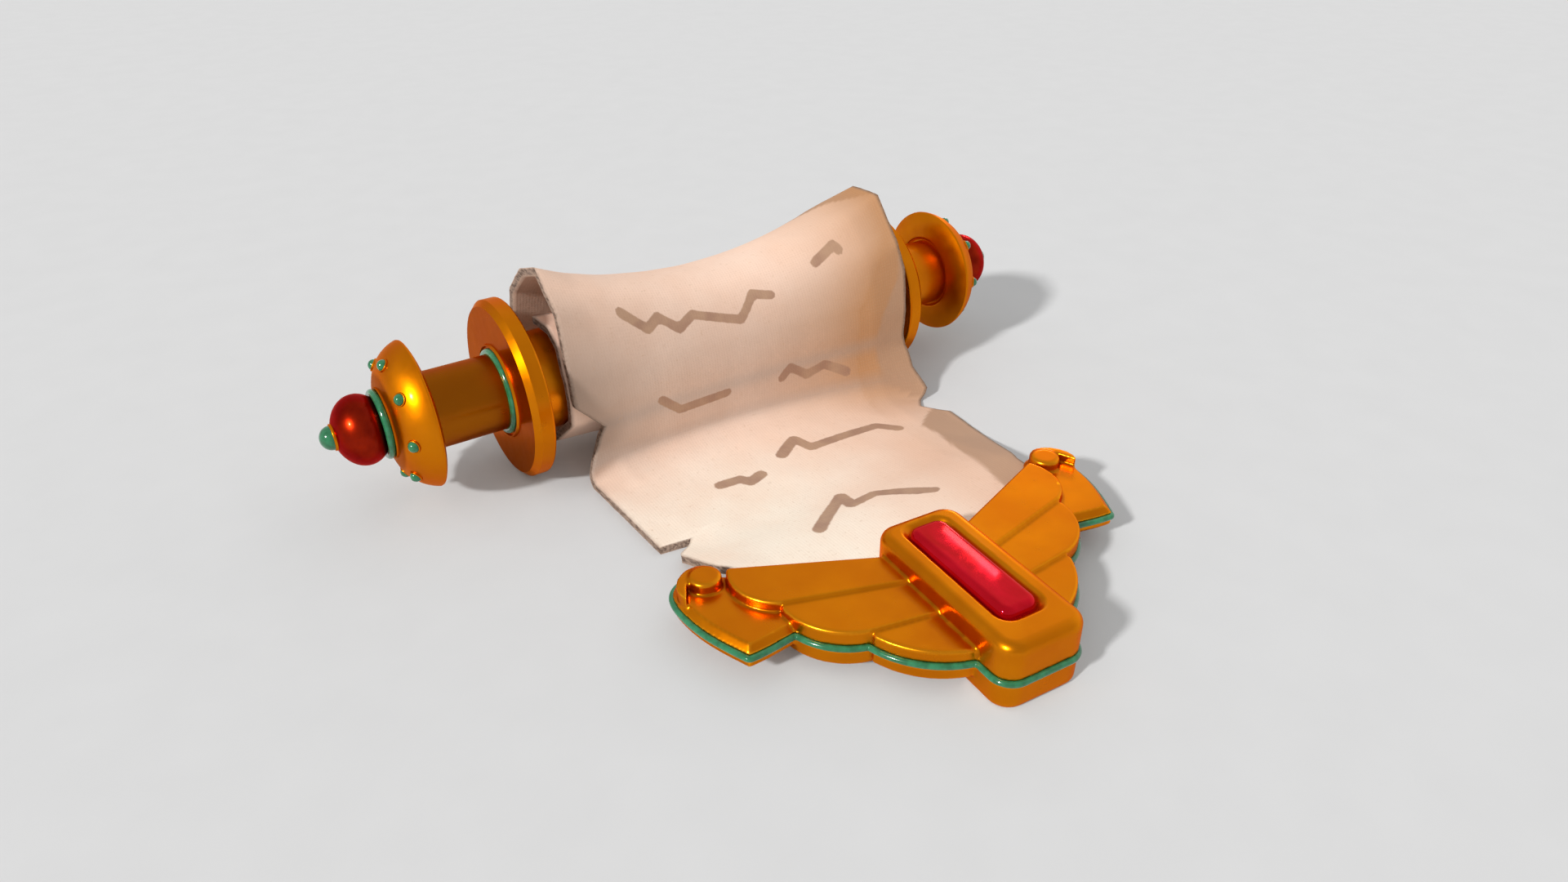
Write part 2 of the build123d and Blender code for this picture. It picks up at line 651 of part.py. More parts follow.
def clasp_nodes():
    solids = {
        "clasp_upper_shell": upper_shell(),
        "clasp_lower_shell": lower_shell(),
        "clasp_piping": Pos(0, 0, PARTING_Z) * piping(PIPING_D / 2),
        "clasp_gem": gem(),
        "clasp_screws": clasp_screws(),
    }
    return {name: clasp_place() * solid for name, solid in solids.items()}


def main():
    os.makedirs("parts", exist_ok=True)
    nodes = {"paper_sheet": paper_sheet()}
    nodes.update(roller_nodes())
    nodes.update(clasp_nodes())
    box = Compound([solid for node in nodes.values() for solid in node.solids()]).bounding_box()
    # The origin goes to the middle of the underside of the whole
    shift = Pos(-box.center().X, -box.center().Y, -box.min.Z)
    print("shift", shift.position, "size", box.size)
    for name, solid in nodes.items():
        placed = shift * solid
        print(name, len(placed.solids()), placed.is_valid, round(placed.volume))
        export_step(placed, f"parts/{name}.step")


if __name__ == "__main__":
    main()
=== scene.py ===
import bpy
import json
from math import hypot, pi, radians
from mathutils import Matrix, Vector, noise


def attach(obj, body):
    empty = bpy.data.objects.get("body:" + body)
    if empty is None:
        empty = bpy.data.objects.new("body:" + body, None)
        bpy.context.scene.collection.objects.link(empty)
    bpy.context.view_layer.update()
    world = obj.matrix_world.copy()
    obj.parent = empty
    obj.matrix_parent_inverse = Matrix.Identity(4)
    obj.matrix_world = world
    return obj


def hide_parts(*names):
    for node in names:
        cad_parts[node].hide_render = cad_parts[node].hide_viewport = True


# Ornate paper scroll on a pale table: gilt clasp and roller, green enamel, red lacquer, ruby glass and
# worn paper.
# Lengths are in millimetres and turned to metres where a mesh is made. Lamps and camera are in metres.

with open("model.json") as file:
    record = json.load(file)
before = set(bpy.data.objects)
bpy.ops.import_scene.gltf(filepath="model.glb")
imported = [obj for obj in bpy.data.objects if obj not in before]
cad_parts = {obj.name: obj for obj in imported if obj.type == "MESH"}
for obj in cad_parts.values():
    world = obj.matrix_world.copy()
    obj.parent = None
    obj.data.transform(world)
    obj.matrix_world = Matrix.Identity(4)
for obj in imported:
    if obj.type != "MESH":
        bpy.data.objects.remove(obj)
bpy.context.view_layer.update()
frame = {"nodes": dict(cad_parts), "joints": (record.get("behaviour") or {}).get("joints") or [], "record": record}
NODES = frame["nodes"]
MM = 0.001
AXIS_Y = frame["joints"][0]["pos_m"][1] / MM

# How finely the modelled meshes are divided
SHEET_PITCH = 2.0
CAST_VOXEL = 0.7
POLISH_ROUNDS = 3

# Spacing of the lines in the paper, coarser than in real paper so that they show
LAID_SPACING = 1.366
CHAIN_SPACING = 1.496
# Length in metres after which a wave node of scale 1 repeats
WAVE_LENGTH = pi / 10

# Sockets of a Mix node that mixes two colours
UNDER, OVER, MIXED = 6, 7, 2


# Colours are picked as sRGB and turned linear
def linear(code):
    parts = [int(code[i:i + 2], 16) / 255 for i in (1, 3, 5)]
    return [p / 12.92 if p <= 0.04045 else ((p + 0.055) / 1.055) ** 2.4 for p in parts] + [1.0]


# Adds one node with its options, and gives each named input a value or a link. Returns one output.
def add(tree, kind, inputs, output=0, **options):
    node = tree.nodes.new("ShaderNode" + kind)
    for name, option in options.items():
        setattr(node, name, option)
    for name, value in inputs.items():
        if isinstance(value, bpy.types.NodeSocket):
            tree.links.new(value, node.inputs[name])
        else:
            node.inputs[name].default_value = value
    return node.outputs[output] if node.outputs else None


def new_material(name):
    material = bpy.data.materials.new(name)
    material.use_nodes = True
    material.node_tree.nodes.clear()
    return material, material.node_tree


# Ends a material's tree with its shader
def surface(tree, inputs):
    add(tree, "OutputMaterial", {"Surface": add(tree, "BsdfPrincipled", inputs)})


# Noise in the piece's own place, with its grain size in millimetres. Its values from low to high in
# spread become those in to.
def grain(tree, size, detail, spread=None, to=(0.0, 1.0), stretch=(1, 1, 1)):
    place = add(tree, "TexCoord", {}, "Object")
    scale = [1 / (size * MM * s) for s in stretch]
    sized = add(tree, "VectorMath", {0: place, 1: scale}, operation="MULTIPLY")
    cloud = add(tree, "TexNoise", {"Vector": sized, "Scale": 1.0, "Detail": detail}, "Fac")
    if spread is None:
        return cloud
    return add(tree, "MapRange", {"Value": cloud, "From Min": spread[0], "From Max": spread[1],
                                  "To Min": to[0], "To Max": to[1]})


# A base colour with coats over it, each a mask and the colour that shows where the mask is 1
def layered(tree, colour, coats):
    for mask, coat in coats:
        colour = add(tree, "Mix", {0: mask, UNDER: colour, OVER: coat}, MIXED, data_type="RGBA")
    return colour


# Normal of a surface that rises and falls by each height, with its depth in millimetres
def relief(tree, heights):
    inputs = {"Strength": 1.0}
    for height, depth in heights:
        inputs["Normal"] = add(tree, "Bump", {**inputs, "Height": height, "Distance": depth * MM})
    return inputs["Normal"]


# Painted light: bounced light sees mostly a pale neutral grey, so the light thrown on table and sheet is neutral
# and lifts their shade
def neutral_bounce(tree, colour, grey):
    bounce = add(tree, "LightPath", {}, "Is Diffuse Ray")
    mask = add(tree, "MapRange", {"Value": bounce, "To Max": 0.8})
    return layered(tree, colour, [(mask, linear(grey))])


# Painted shade on a round piece of the roller: by ends on its face that looks outward, by rest elsewhere
def end_face_shade(tree, ends, rest):
    facing = add(tree, "SeparateXYZ", {0: add(tree, "TexCoord", {}, "Normal")}, "X")
    place = add(tree, "SeparateXYZ", {0: add(tree, "TexCoord", {}, "Object")}, "X")
    side = add(tree, "Math", {0: place}, operation="SIGN")
    outward = add(tree, "Math", {0: facing, 1: side}, operation="MULTIPLY")
    return add(tree, "MapRange", {"Value": outward, "From Min": 0.92, "From Max": 0.95,
                                  "To Min": rest, "To Max": ends})


# Satin gilding: warm where thick, redder where thin, with a fine cast grain and a thin varnish.
# Cast pieces are rubbed bright on the edges, partly wear and partly a painted highlight, and browned in the
# corners. Flanges and domes get painted shade on their outward ends, and the handles all over.
def gilt_brass(name, cast=False, end_shade=0.0, overall_shade=0.0, satin=0.0):
    material, tree = new_material(name)
    coats = [(grain(tree, 26, 3, (0.35, 0.65)), linear("#DD8004"))]
    # Painted shade, on the outward ends or all over
    if end_shade or overall_shade:
        coats.append((end_face_shade(tree, end_shade, overall_shade), linear("#7E4002")))
    if cast:
        # Bright edges: partly wear and partly a painted highlight. Darker corners: browned hollows
        edges = add(tree, "NewGeometry", {}, "Pointiness")
        rubbed_and_highlit = add(tree, "MapRange", {"Value": edges, "From Min": 0.51, "From Max": 0.56})
        recess = add(tree, "MapRange", {"Value": edges, "From Min": 0.49, "From Max": 0.44})
        coats += [(rubbed_and_highlit, linear("#FBA41C")), (recess, linear("#8E4604"))]
    surface(tree, {
        "Base Color": neutral_bounce(tree, layered(tree, linear("#D37500"), coats), "#EFE9E2"),
        "Metallic": 1.0,
        "Specular Tint": linear("#FFB050"),
        "Roughness": grain(tree, 7, 4, (0.3, 0.7), (0.27 + satin, 0.36 + satin)),
        "Coat Weight": 0.08,
        "Coat Roughness": 0.12,
        "Normal": relief(tree, [(grain(tree, 0.5, 2), 0.006), (grain(tree, 9, 1), 0.05)])})
    return material


# Gloss enamel with slightly uneven depth of green and a faint orange-peel surface
def green_enamel():
    material, tree = new_material("green_enamel")
    depth = grain(tree, 3, 2, (0.35, 0.65))
    surface(tree, {
        "Base Color": layered(tree, linear("#1B653E"), [(depth, linear("#297D52"))]),
        "Roughness": 0.16,
        "Coat Weight": 0.4,
        "Normal": relief(tree, [(grain(tree, 1.2, 1), 0.012)])})
    return material


# Deep red lacquer over metal leaf, with a clear gloss coat
def red_lacquer():
    material, tree = new_material("red_lacquer")
    leaf = grain(tree, 8, 3, (0.35, 0.65))
    colour = layered(tree, linear("#861603"), [(leaf, linear("#A02206"))])
    surface(tree, {
        "Base Color": neutral_bounce(tree, colour, "#C8BEB8"),
        "Metallic": 1.0,
        "Specular Tint": linear("#FF6A40"),
        "Roughness": 0.3,
        "Coat Weight": 0.08,
        "Coat Roughness": 0.08,
        "Normal": relief(tree, [(grain(tree, 0.4, 1), 0.004)])})
    return material


# Ruby glass over foil, which gives the colour back at full strength, with a clouded depth and fine wear
def gem_glass():
    material, tree = new_material("gem_glass")
    cloud = grain(tree, 6, 3, (0.3, 0.7), stretch=(1, 3, 1))
    surface(tree, {
        "Base Color": layered(tree, linear("#BC0518"), [(cloud, linear("#D60E26"))]),
        "Metallic": 0.75,
        "Specular Tint": linear("#FF4858"),
        "Roughness": grain(tree, 4, 3, (0.4, 0.7), (0.04, 0.07)),
        "Coat Weight": 0.12,
        "Coat Roughness": 0.03,
        "Normal": relief(tree, [(grain(tree, 11, 1), 0.012)])})
    return material


# Brushed steel of the hidden rod and screws: grey, with fine streaks along the rod
def steel():
    material, tree = new_material("steel")
    along_rod = (40, 1, 1)
    streaks = grain(tree, 0.3, 3, stretch=along_rod)
    surface(tree, {
        "Base Color": layered(tree, linear("#9B9C9E"), [(streaks, linear("#C6C7C8"))]),
        "Metallic": 1.0,
        "Roughness": grain(tree, 0.3, 3, (0.3, 0.7), (0.28, 0.42), along_rod),
        "Normal": relief(tree, [(streaks, 0.003)])})
    return material


# A mask painted on the sheet's mesh, as strong as told where the paint is full
def painted(tree, name, strength=1.0):
    paint = add(tree, "Attribute", {}, "Fac", attribute_name=name)
    return add(tree, "MapRange", {"Value": paint, "To Max": strength})


# Laid lines across the sheet, and a like grain along it
def laid_lines(tree):
    plan = add(tree, "UVMap", {}, uv_map="sheet_plan")
    lines = []
    for direction, spacing in (("Y", LAID_SPACING), ("X", CHAIN_SPACING)):
        wave = {"Vector": plan, "Scale": WAVE_LENGTH / (spacing * MM), "Distortion": 1.2, "Detail": 2.0,
                "Detail Scale": 1.5}
        lines.append(add(tree, "TexWave", wave, "Fac", wave_type="BANDS", bands_direction=direction))
    return add(tree, "Math", {0: lines[0], 1: lines[1]}, operation="MULTIPLY")


# Worn paper: cream with a fine laid grain, painted light where it lies flat, painted shade where it stands, at
# the folds and the right border, orange brown near the crease, browned layered edges and brush strokes of old
# brown ink
def worn_paper():
    material, tree = new_material("worn_paper")
    mottle = grain(tree, 38, 4, (0.35, 0.68))
    lines = laid_lines(tree)
    line_mask = add(tree, "MapRange", {"Value": lines, "To Max": 0.1})
    specks = grain(tree, 1.6, 5, (0.62, 0.72), (0, 0.25))
    # The paint called ink holds the distance to the nearest stroke, which ends a little unevenly
    stroke = add(tree, "Attribute", {}, "Fac", attribute_name="ink")
    reach = add(tree, "Math", {0: stroke, 1: grain(tree, 2.2, 3, (0, 1), (-0.35, 0.35))}, operation="ADD")
    ink_mask = add(tree, "MapRange", {"Value": reach, "From Min": 2.15, "From Max": 2.75, "To Min": 0.9,
                                      "To Max": 0})
    ink = layered(tree, linear("#A17961"), [(grain(tree, 12, 2, (0.4, 0.6)), linear("#B08A6D"))])
    lit_flat = layered(tree, linear("#FFF2E0"), [(mottle, linear("#FDE7D2"))])
    layers = grain(tree, 1.1, 3, (0.38, 0.62), stretch=(1, 4, 1))
    cut_face = layered(tree, linear("#5E4A3D"), [(layers, linear("#9B8372"))])
    colour = layered(tree, linear("#FDDDC8"), [
        (mottle, linear("#F9D3BB")),
        # Painted light on the flat part, painted shade on the standing part, at the folds and on the right border
        (painted(tree, "lit_flat"), lit_flat),
        (painted(tree, "shade_and_dark_corner", 0.95), linear("#A88F7E")),
        (painted(tree, "orange_brown", 0.9), linear("#B8814F")),
        (painted(tree, "fold", 0.36), linear("#A0968F")),
        (painted(tree, "shaded_border", 0.85), linear("#B68E70")),
        (line_mask, linear("#C9AE96")),
        (specks, linear("#C59C74")),
        (ink_mask, ink),
        (painted(tree, "rim"), cut_face)])
    surface(tree, {
        "Base Color": colour,
        "Roughness": 0.82,
        "Normal": relief(tree, [(lines, 0.03), (grain(tree, 2.5, 4), 0.08), (grain(tree, 14, 2), 0.3)])})
    return material


# The sheet, drawn as its upper or outer face in (y from the roller axis, height), from the clasp to the
# inner end, at the left mouth, the waist and the right mouth of the roll
SHEET_LEFT, SHEET_RIGHT, WAIST_X = -94.0, 103.0, -4.0
SHEET_T, BORDER_WIDTH, BORDER_T = 4.0, 21.0, 1.2
CLASP_RUN = [(-216.0, 15.5), (-150.0, 15.5), (-113.0, 4.0)]
TAB_TOP = 74.3
LEFT_MOUTH = CLASP_RUN + [
    (-44, 4), (-37, 24), (-37, 46), (-27, 90), (-6, 106.5), (14.5, 99), (33, 83), (43, 55), (36, 24),
    (16, 11), (-6, 11), (-30, 31), (-31.5, 46), (-23, 72), (-13, TAB_TOP + 4), (6, TAB_TOP + 2.5)]
WAIST = CLASP_RUN + [
    (-37, 4), (-37, 25), (-37, 49), (-27, 72.5), (-11, 86), (10, 84), (28, 72), (37, 48), (31, 16),
    (12, 3), (-10, 3), (-30.5, 28), (-31.2, 49), (-22.3, 68.6), (-8.5, TAB_TOP + 0.3), (4, TAB_TOP)]
RIGHT_MOUTH = CLASP_RUN + [
    (-66, 4), (-50, 30), (-48, 52), (-40, 88), (-18, 111), (5, 111), (34, 92), (46, 54), (38, 20),
    (14, 4), (-12, 4), (-36, 28), (-39, 50), (-26, 74), (-8, TAB_TOP + 3), (4, TAB_TOP + 3)]
# The sheet's front end is cut back from the drawn one to stay in the clasp, a little slanted
FRONT_END, FRONT_SLANT, FRONT_MIDDLE = -196.3, 0.07, -1.0

# A place is counted in corners of the outline from the clasp, so 1.5 is halfway from corner 1 to corner 2.
# Edges of the sheet as (place, x)
LEFT_EDGE = [(0.0, -78.0), (1.0, -78.0), (1.24, -81.5), (1.82, -85.5), (2.058, -73.6), (2.073, -89.0),
             (3.28, -91.5), (4.25, -79.5), (4.93, -94.0)]
RIGHT_EDGE = [(0.0, 84.0), (0.91, 86.5), (1.975, 104.8), (2.635, 107.5), (2.82, 96.6), (3.17, 108.0),
              (3.6, 103.5), (3.9, 103.3), (4.27, 101.3), (4.81, 102.8), (5.57, 104.5), (5.96, 101.7),
              (6.44, 102.0), (7.35, 102.4), (8.2, 101.0), (9.5, 103.0)]
# Where the painted shade of the right border begins, and the crease left of it, as (place, x)
BORDER_EDGE = [(0.0, 58.0), (0.75, 64.3), (1.3, 71.5), (2.2, 82.5), (2.4, 80.5), (2.69, 97.2), (2.82, 105.0),
               (3.0, 101.0), (3.31, 86.8), (3.69, 82.7), (4.26, 82.0), (4.98, 87.6), (5.51, 99.9),
               (6.25, 102.5), (7.0, 105.0)]
CREASE = [(0.0, 66.0), (2.0, 68.0), (4.46, 71.7), (5.16, 73.4), (5.75, 86.7), (6.28, 100.4), (7.0, 104.0)]
# Places of the two soft folds, where the sheet lifts off the table, and how far their shade reaches
SOFT_FOLDS = [3.42, 4.28]
FOLD_REACH = 0.26
# The dark corner that turns over at the top right. It lies between two places, on the right of a line
# through a place and x, which comes this much nearer to the middle for each corner of the outline.
CORNER_FROM, CORNER_TO = 7.2, 9.0
CORNER_PLACE, CORNER_X, CORNER_SLANT = 7.24, 100.0, 33.0

# Bends are sharp at the sheet's sides and soft inside, this far from the left and the right side
SHARP_BEND, SOFT_BEND = 0.04, 0.4
SOFT_FROM_LEFT, SOFT_FROM_RIGHT = 18.0, 34.0
# Height and length of the waves in the sides and in the outer face, and where the wrinkles set in behind
# the clasp
RAGGED_SIDE, RAGGED_LENGTH = 0.35, 5.0
WRINKLE, WRINKLE_LENGTH, WRINKLE_PLACES = 0.25, 16.0, (1.2, 2.2)
# The cut edge is drawn in layers that stand out and fall back in turn, each worn in waves of this height
# and length
EDGE_LAYERS = 5
LAYER_OUT, LAYER_BACK = 0.12, -0.2
LAYER_WEAR, LAYER_WEAR_LENGTH = 0.3, 2.5
# How far the brown of the cut edge goes over onto the faces
RIM_SHADE = 0.55

# Strokes of ink, as (x, distance along the sheet) points. Those nearer to the front end than BROAD_TO are
# broader, as only a share of the distance to them counts.
STROKES = [
    [(-60, 254), (-48, 246), (-41, 251), (-31, 244), (-22, 250), (4, 242), (14, 254), (24, 251)],
    [(54, 259), (67, 263), (69, 260)],
    [(24, 203), (29, 208), (39, 201), (50, 204), (63, 197)],
    [(-47, 212), (-37, 203), (-9, 204)],
    [(1, 145), (15, 156), (18, 144), (60, 148), (68, 139)],
    [(-40, 138), (-29, 137), (-26, 132), (-18, 135)],
    [(-29, 69), (0, 92), (-3, 79), (12, 81), (34, 63)]]
BROAD_TO, BROAD_SHARE = 170.0, 0.74
NO_INK = 99.0

# Where the paint of the outer face begins and where it is full: orange brown by height, by place and left of the
# crease, painted shade on the standing part and at its left, and painted light that makes the lower part pale
BROWN_HEIGHTS, BROWN_PLACES = (60, 105), (2.6, 3.6)
BROWN_REACH, BROWN_FADE = 75.0, 1.4
STANDING_SHADE_PLACES, STANDING_SHADE_END_PLACES, STANDING_SHADE_X = (2.8, 3.6), (6.6, 5.2), (-45, SHEET_LEFT)
LIT_FLAT_PLACES, LIT_FLAT_X = (3.2, 2.2), (60, -30)
# Half the width of the step at a painted edge
BORDER_STEP, CREASE_STEP, CORNER_STEP = 0.75, 1.0, 0.75

# What the inner face and the cut edge are painted with, in place of the outer face's paint
# Inner face and cut edge: a little painted shade and orange brown
INNER_PAINT = {"ink": NO_INK, "fold": 0.0, "shaded_border": 0.3, "orange_brown": 0.15, "lit_flat": 0.0, "shade_and_dark_corner": 0.15}


# How far a value has come on its way from start to end, held between 0 and 1
def share(value, start, end):
    return min(1.0, max(0.0, (value - start) / (end - start)))


# The outline moved to its right by a distance, with its corners mitred
def moved_right(points, distance):
    sides = []
    for start, end in zip(points, points[1:]):
        length = hypot(end[0] - start[0], end[1] - start[1])
        sides.append(((end[0] - start[0]) / length, (end[1] - start[1]) / length))
    moved = []
    for (y, z), (ay, az), (by, bz) in zip(points, sides[:1] + sides, sides + sides[-1:]):
        scale = distance / (1 + ay * by + az * bz)
        moved.append((y + (az + bz) * scale, z - (ay + by) * scale))
    return moved


# The outline at x. Each of its corners runs on a parabola through both mouths and the waist.
def outline_at(x):
    span = SHEET_RIGHT - SHEET_LEFT
    left = (x - WAIST_X) * (x - SHEET_RIGHT) / ((SHEET_LEFT - WAIST_X) * -span)
    right = (x - WAIST_X) * (x - SHEET_LEFT) / ((SHEET_RIGHT - WAIST_X) * span)
    middle = 1 - left - right
    return [(left * l[0] + middle * m[0] + right * r[0], left * l[1] + middle * m[1] + right * r[1])
            for l, m, r in zip(LEFT_MOUTH, WAIST, RIGHT_MOUTH)]


# Straight between corners, and rounded over a short way on both sides of each corner
def point_on(points, place, soft):
    corner = round(place)
    last = len(points) - 1
    if 0 < corner < last and abs(place - corner) < soft:
        before, here, after = points[corner - 1], points[corner], points[corner + 1]
        start = [h + (b - h) * soft for h, b in zip(here, before)]
        end = [h + (a - h) * soft for h, a in zip(here, after)]
        t = (place - corner + soft) / (2 * soft)
        return [(1 - t) ** 2 * s + 2 * t * (1 - t) * h + t * t * e for s, h, e in zip(start, here, end)]
    first = min(int(place), last - 1)
    t = place - first
    return [a + (b - a) * t for a, b in zip(points[first], points[first + 1])]


# Reads a table of (place, value) in straight steps, and keeps its last value after its last place
def value_at(table, place):
    for (p0, v0), (p1, v1) in zip(table, table[1:]):
        if place <= p1:
            return v0 + (v1 - v0) * (place - p0) / (p1 - p0)
    return table[-1][1]


# Rows of the sheet: places at most one pitch apart and six or more to a side, each with the distance
# from the front end
def sheet_rows(pitch):
    rows, travelled = [], 0.0
    for number, (start, end) in enumerate(zip(WAIST, WAIST[1:])):
        length = hypot(end[0] - start[0], end[1] - start[1])
        count = max(6, round(length / pitch))
        rows += [(number + k / count, travelled + length * k / count) for k in range(count)]
        travelled += length
    return rows + [(len(WAIST) - 1, travelled)]


def distance_to(x, y, stroke):
    best = NO_INK
    for (ax, ay), (bx, by) in zip(stroke, stroke[1:]):
        dx, dy = bx - ax, by - ay
        t = share((x - ax) * dx + (y - ay) * dy, 0.0, dx * dx + dy * dy)
        best = min(best, hypot(x - ax - t * dx, y - ay - t * dy))
    return best


# Paint of the outer face, where ink is the distance to the nearest stroke and the rest runs from 0 to 1
def outer_paint(x, z, along, place):
    crease, shaded_border = value_at(CREASE, place), value_at(BORDER_EDGE, place)
    counted = BROAD_SHARE if along < BROAD_TO else 1.0
    # Orange brown that grows with height and towards the crease, and steps up at it
    brownness = 0.15 * share(z, *BROWN_HEIGHTS) + 0.95 * share(x, crease - BROWN_REACH, crease) ** BROWN_FADE
    brownness += 0.2 * share(x, crease - CREASE_STEP, crease + CREASE_STEP)
    brownness *= 0.3 + 0.7 * share(place, *BROWN_PLACES)
    # Painted shade on the standing part, deeper towards its left
    shade_and_dark_corner = share(place, *STANDING_SHADE_PLACES) * share(place, *STANDING_SHADE_END_PLACES) * (0.55 + 0.45 * share(x, *STANDING_SHADE_X))
    turned = 0.0
    if CORNER_FROM < place < CORNER_TO:
        line = CORNER_X - (place - CORNER_PLACE) * CORNER_SLANT
        turned = share(x, line, line + 2 * CORNER_STEP)
    # Painted light on the flat part, painted shade on the folds, the right border and the standing part, with the
    # dark turned corner in that last mask
    return {
        "ink": counted * min(distance_to(x, along, stroke) for stroke in STROKES),
        "fold": max(max(0.0, 1 - abs(place - fold) / FOLD_REACH) for fold in SOFT_FOLDS),
        "shaded_border": share(x, shaded_border - BORDER_STEP, shaded_border + BORDER_STEP),
        "orange_brown": max(0.6 * turned, min(1.0, brownness)),
        "lit_flat": share(place, *LIT_FLAT_PLACES) * share(x, *LIT_FLAT_X),
        "shade_and_dark_corner": max(turned, shade_and_dark_corner)}


# Points of the outer and the inner face at one place and column, both as (y from the roller axis, height)
def sheet_section(place, along, column, columns):
    left, right = value_at(LEFT_EDGE, place), value_at(RIGHT_EDGE, place)
    x = left + (right - left) * column / columns
    if column in (0, columns):
        x += RAGGED_SIDE * noise.noise(Vector((along / RAGGED_LENGTH, 3.1, 0.0)))
    outline = outline_at(x)
    outline[0] = (FRONT_END - FRONT_SLANT * (x - FRONT_MIDDLE), outline[0][1])
    thinner = (SHEET_T - BORDER_T) * share(x, SHEET_RIGHT - BORDER_WIDTH, SHEET_RIGHT)
    inside = min(share(x, left, left + SOFT_FROM_LEFT), share(x, right, right - SOFT_FROM_RIGHT))
    bend = SHARP_BEND + (SOFT_BEND - SHARP_BEND) * inside
    face = point_on(moved_right(outline, thinner), place, bend)
    back = point_on(moved_right(outline, SHEET_T), place, bend)
    wave = noise.noise(Vector((x / WRINKLE_LENGTH, along / WRINKLE_LENGTH, 0.0)))
    wrinkle = WRINKLE * wave * share(place, *WRINKLE_PLACES)
    lift = Vector((face[0] - back[0], face[1] - back[1])).normalized() * wrinkle
    return x, (face[0] + lift[0], face[1] + lift[1]), back


# The sheet with its outer face, its inner face and a cut edge in layers all round
def paper_sheet():
    rows = sheet_rows(SHEET_PITCH)
    columns = round((SHEET_RIGHT - SHEET_LEFT) / SHEET_PITCH)
    last = len(rows) - 1
    vertices, plan, paints, index, faces = [], [], [], {}, []

    def put(key, x, y, z, rim):
        place, along = rows[key[0]]
        paint = outer_paint(x, z, along, place) if key[2] == 0 else INNER_PAINT
        index[key] = len(vertices)
        vertices.append((x * MM, (y + AXIS_Y) * MM, z * MM))
        plan.append((x * MM, along * MM))
        paints.append({**paint, "rim": rim})

    grid = {}
    for r, (place, along) in enumerate(rows):
        for c in range(columns + 1):
            grid[r, c] = sheet_section(place, along, c, columns)
            x, face, back = grid[r, c]
            rim = RIM_SHADE if c in (0, columns) or r == last else 0.0
            put((r, c, 0), x, face[0], face[1], rim)
            put((r, c, EDGE_LAYERS), x, back[0], back[1], rim)
    for r in range(last):
        for c in range(columns):
            here, right, across, above = (r, c), (r, c + 1), (r + 1, c + 1), (r + 1, c)
            faces.append([index[corner + (0,)] for corner in (here, right, across, above)])
            faces.append([index[corner + (EDGE_LAYERS,)] for corner in (here, above, across, right)])
    loop = [(r, 0) for r in range(last + 1)] + [(last, c) for c in range(1, columns + 1)]
    loop += [(r, columns) for r in range(last - 1, -1, -1)] + [(0, c) for c in range(columns - 1, 0, -1)]
    for r, c in loop:
        x, face, back = grid[r, c]
        side = {0: -1, columns: 1}.get(c, 0)
        for k in range(1, EDGE_LAYERS):
            wear_and_shade = noise.noise(Vector((rows[r][1] / LAYER_WEAR_LENGTH, k * 7.7, side * 3.3)))
            out = LAYER_WEAR * wear_and_shade + (LAYER_OUT if k % 2 else LAYER_BACK)
            y, z = [f + (b - f) * k / EDGE_LAYERS for f, b in zip(face, back)]
            put((r, c, k), x + side * out, y, z, 1.0)
    for here, there in zip(loop, loop[1:] + loop[:1]):
        for k in range(EDGE_LAYERS):
            faces.append([index[here + (k,)], index[there + (k,)], index[there + (k + 1,)],
                          index[here + (k + 1,)]])
    mesh = bpy.data.meshes.new("scroll_sheet")
    mesh.from_pydata(vertices, [], faces)
    for name in paints[0]:
        mesh.attributes.new(name, "FLOAT", "POINT").data.foreach_set("value", [p[name] for p in paints])
    layer = mesh.uv_layers.new(name="sheet_plan")
    for corner in mesh.loops:
        layer.data[corner.index].uv = plan[corner.vertex_index]
    return mesh


def show(name, mesh, body, node, material):
    piece = bpy.data.objects.new(name, mesh)
    bpy.context.scene.collection.objects.link(piece)
    mesh.materials.clear()
    mesh.materials.append(material)
    mesh.shade_smooth()
    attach(piece, body)
    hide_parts(node)
    return piece


# Cast piece with the soft edges of a polished casting
def softened(node):
    source = NODES[node].copy()
    source.data = NODES[node].data.copy()
    bpy.context.scene.collection.objects.link(source)
    skin = source.modifiers.new("cast skin", "REMESH")
    skin.mode = "VOXEL"
    skin.voxel_size = CAST_VOXEL * MM
    polish = source.modifiers.new("polish", "SMOOTH")
    polish.factor = 0.5
    polish.iterations = POLISH_ROUNDS
    bpy.context.view_layer.update()
    graph = bpy.context.evaluated_depsgraph_get()
    mesh = bpy.data.meshes.new_from_object(source.evaluated_get(graph))
    mesh.name = node + "_polished"
    bpy.data.objects.remove(source)
    return mesh


# Gives each CAD piece the finish of its slot, or gilding with painted shade on the flanges, domes and left handle
def finish_nodes(finishes):
    slots = {part["node"]: part["material_slot"] for part in frame["record"]["subparts"]}
    # Flanges and domes get painted shade on their outward ends, the left handle also all over
    flange = gilt_brass("gilt_brass_flange", end_shade=0.55)
    dome = gilt_brass("gilt_brass_dome", end_shade=0.55, satin=0.08)
    wear_and_shade = {"left_flange": flange, "right_flange": flange, "left_dome": dome, "right_dome": dome,
            "left_handle": gilt_brass("gilt_brass_handle", end_shade=0.7, overall_shade=0.7)}
    for name, node in NODES.items():
        node.data.materials.clear()
        node.data.materials.append(wear_and_shade.get(name, finishes[slots[name]]))


